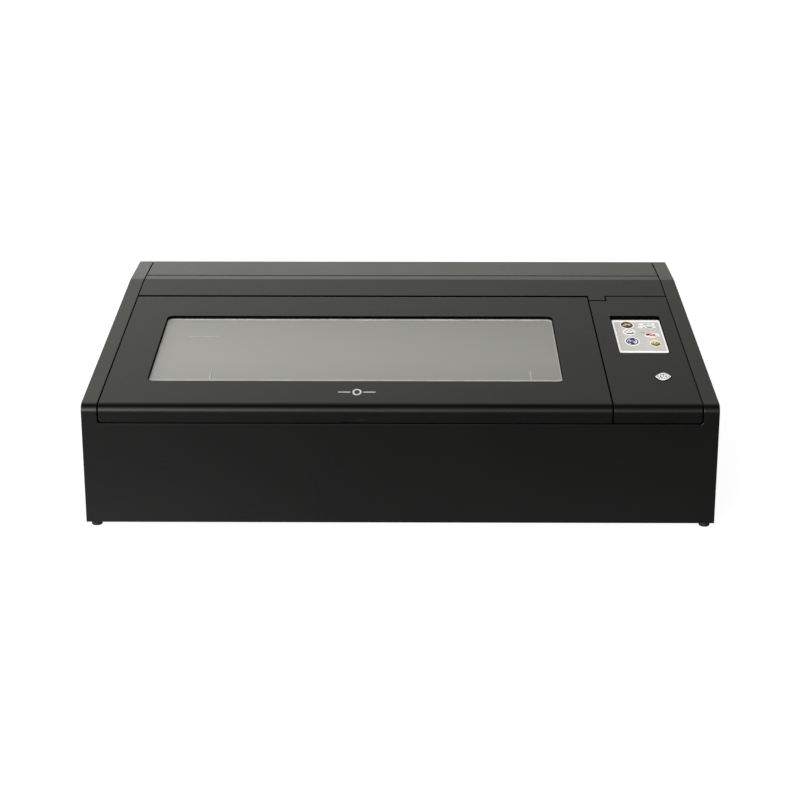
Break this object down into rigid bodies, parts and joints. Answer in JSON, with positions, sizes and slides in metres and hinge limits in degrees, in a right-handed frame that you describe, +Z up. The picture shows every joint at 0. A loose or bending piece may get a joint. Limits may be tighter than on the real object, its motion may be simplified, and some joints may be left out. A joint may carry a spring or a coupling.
{
  "type": "desktop laser cutter",
  "caption": "Low wide desktop laser cutter with a windowed hinged lid, a touch screen panel, a start button and a gantry carrying a laser head over a honeycomb bed.",
  "frame": {"origin": "on the ground under the centre of the cabinet footprint, lid shut, laser head parked at the rear left", "axes": "+X towards the control panel side, the right as seen by someone at the front; the front faces -Y; +Z up"},
  "size_m": [1.03, 0.74, 0.262],
  "materials": {
    "cabinet_paint": "satin textured charcoal powder coat",
    "panel_paint": "satin charcoal powder coat",
    "window_acrylic": "light grey smoked acrylic, glossy",
    "trim_plastic": "satin",
    "display_glass": "glossy display cover",
    "dark_plastic": "matte",
    "button_metal": "fine brushed",
    "spring_steel": "satin",
    "foot_rubber": "matte",
    "chamber_paint": "satin",
    "bed_aluminium": "machined",
    "black_aluminium": "black anodised",
    "motor_black": "satin",
    "tube_glass": "clear borosilicate",
    "brass": "turned",
    "tank_plastic": "translucent white",
    "board_green": "solder mask",
    "light_diffuser": "frosted"
  },
  "bodies": {
    "cabinet": {"outer_shell": "cabinet_paint", "base_pan": "cabinet_paint", "rear_panel": "cabinet_paint", "tube_cover": "cabinet_paint", "hinge_cover": "cabinet_paint", "control_panel": "panel_paint", "display_glass": "display_glass", "display_module": "dark_plastic", "button_housing": "dark_plastic", "feet": "foot_rubber", "inner_tub": "chamber_paint", "crumb_tray": "spring_steel", "bed_frame": "bed_aluminium", "honeycomb": "bed_aluminium", "y_rails": "black_aluminium", "y_belts": "foot_rubber", "y_motor": "motor_black", "shaft_bearings": "black_aluminium", "idler_brackets": "black_aluminium", "laser_tube": "tube_glass", "tube_end_caps": "brass", "tube_clamps": "dark_plastic", "mirror_1_mount": "bed_aluminium", "hv_supply": "chamber_paint", "water_tank": "tank_plastic", "radiator": "black_aluminium", "exhaust_duct": "chamber_paint", "exhaust_fan_frame": "dark_plastic", "exhaust_port": "dark_plastic", "rear_ports": "dark_plastic", "dc_supply": "chamber_paint", "main_board": "board_green", "hinge_brackets": "spring_steel", "cover_screws": "spring_steel", "button_spring": "spring_steel"},
    "lid": {"lid_frame": "panel_paint", "lid_window": "window_acrylic", "window_trim": "trim_plastic", "lid_inner_frame": "dark_plastic", "lid_seal": "foot_rubber", "hinge_leaves": "spring_steel", "lid_light_bar": "light_diffuser"},
    "gantry": {"x_beam": "black_aluminium", "y_carriages": "bed_aluminium", "x_motor": "motor_black", "x_belt": "foot_rubber", "mirror_2_mount": "bed_aluminium"},
    "head": {"head_carriage": "black_aluminium", "mirror_3_housing": "bed_aluminium"},
    "lens": {"lens_tube": "bed_aluminium"},
    "focus_screw": {"focus_knob": "brass"},
    "y_shaft": {"y_drive_shaft": "spring_steel"},
    "y_idler_pair": {"y_idlers": "spring_steel"},
    "x_pulley": {"x_drive_pulley": "spring_steel"},
    "x_idler": {"x_idler_pulley": "spring_steel"},
    "exhaust_rotor": {"exhaust_fan_rotor": "dark_plastic"},
    "radiator_rotor": {"radiator_fan_rotor": "dark_plastic"},
    "button": {"start_button": "button_metal"},
    "rocker": {"power_switch": "dark_plastic"}
  },
  "joints": [
    {"name": "lid_hinge", "type": "hinge", "parent": "cabinet", "child": "lid", "pos_m": [-0.0726, 0.134, 0.24434], "axis": [-1, 0, 0], "range_deg": [0, 70]},
    {"name": "gantry_slide", "type": "slide", "parent": "cabinet", "child": "gantry", "axis": [0, 1, 0], "range_m": [-0.36, 0]},
    {"name": "head_slide", "type": "slide", "parent": "gantry", "child": "head", "axis": [1, 0, 0], "range_m": [0, 0.6]},
    {"name": "lens_focus", "type": "slide", "parent": "head", "child": "lens", "axis": [0, 0, 1], "range_m": [-0.006, 0.006]},
    {"name": "focus_screw_turn", "type": "hinge", "parent": "head", "child": "focus_screw", "pos_m": [-0.35, 0.036, 0.131], "axis": [1, 0, 0], "range_deg": [-180, 180]},
    {"name": "y_shaft_turn", "type": "hinge", "parent": "cabinet", "child": "y_shaft", "pos_m": [-0.07, 0.106, 0.122], "axis": [1, 0, 0], "range_deg": [-10, 2380]},
    {"name": "y_idler_turn", "type": "hinge", "parent": "cabinet", "child": "y_idler_pair", "pos_m": [-0.07, -0.336, 0.122], "axis": [1, 0, 0], "range_deg": [-10, 2380]},
    {"name": "x_pulley_turn", "type": "hinge", "parent": "gantry", "child": "x_pulley", "pos_m": [0.262, 0.078, 0.157], "axis": [0, 0, 1], "range_deg": [-10, 3960]},
    {"name": "x_idler_turn", "type": "hinge", "parent": "gantry", "child": "x_idler", "pos_m": [-0.411, 0.078, 0.157], "axis": [0, 0, 1], "range_deg": [-10, 3960]},
    {"name": "exhaust_fan_spin", "type": "hinge", "parent": "cabinet", "child": "exhaust_rotor", "pos_m": [-0.18, 0.344, 0.084], "axis": [0, 1, 0], "continuous": true},
    {"name": "radiator_fan_spin", "type": "hinge", "parent": "cabinet", "child": "radiator_rotor", "pos_m": [0.15, 0.354, 0.097], "axis": [0, 1, 0], "continuous": true},
    {"name": "start_press", "type": "slide", "parent": "cabinet", "child": "button", "axis": [0, 0.0877, -0.9961], "range_m": [0, 0.0015], "stiffness_N_per_m": 600},
    {"name": "power_rock", "type": "hinge", "parent": "cabinet", "child": "rocker", "pos_m": [0.4495, 0.361, 0.0535], "axis": [1, 0, 0], "range_deg": [-6, 6]}
  ],
  "couplings": [
    {"joint": "y_shaft_turn", "follows": "gantry_slide", "rad_per_m": -114.94},
    {"joint": "y_idler_turn", "follows": "gantry_slide", "rad_per_m": -114.94},
    {"joint": "x_pulley_turn", "follows": "head_slide", "rad_per_m": 114.94},
    {"joint": "x_idler_turn", "follows": "head_slide", "rad_per_m": 114.94}
  ]
}
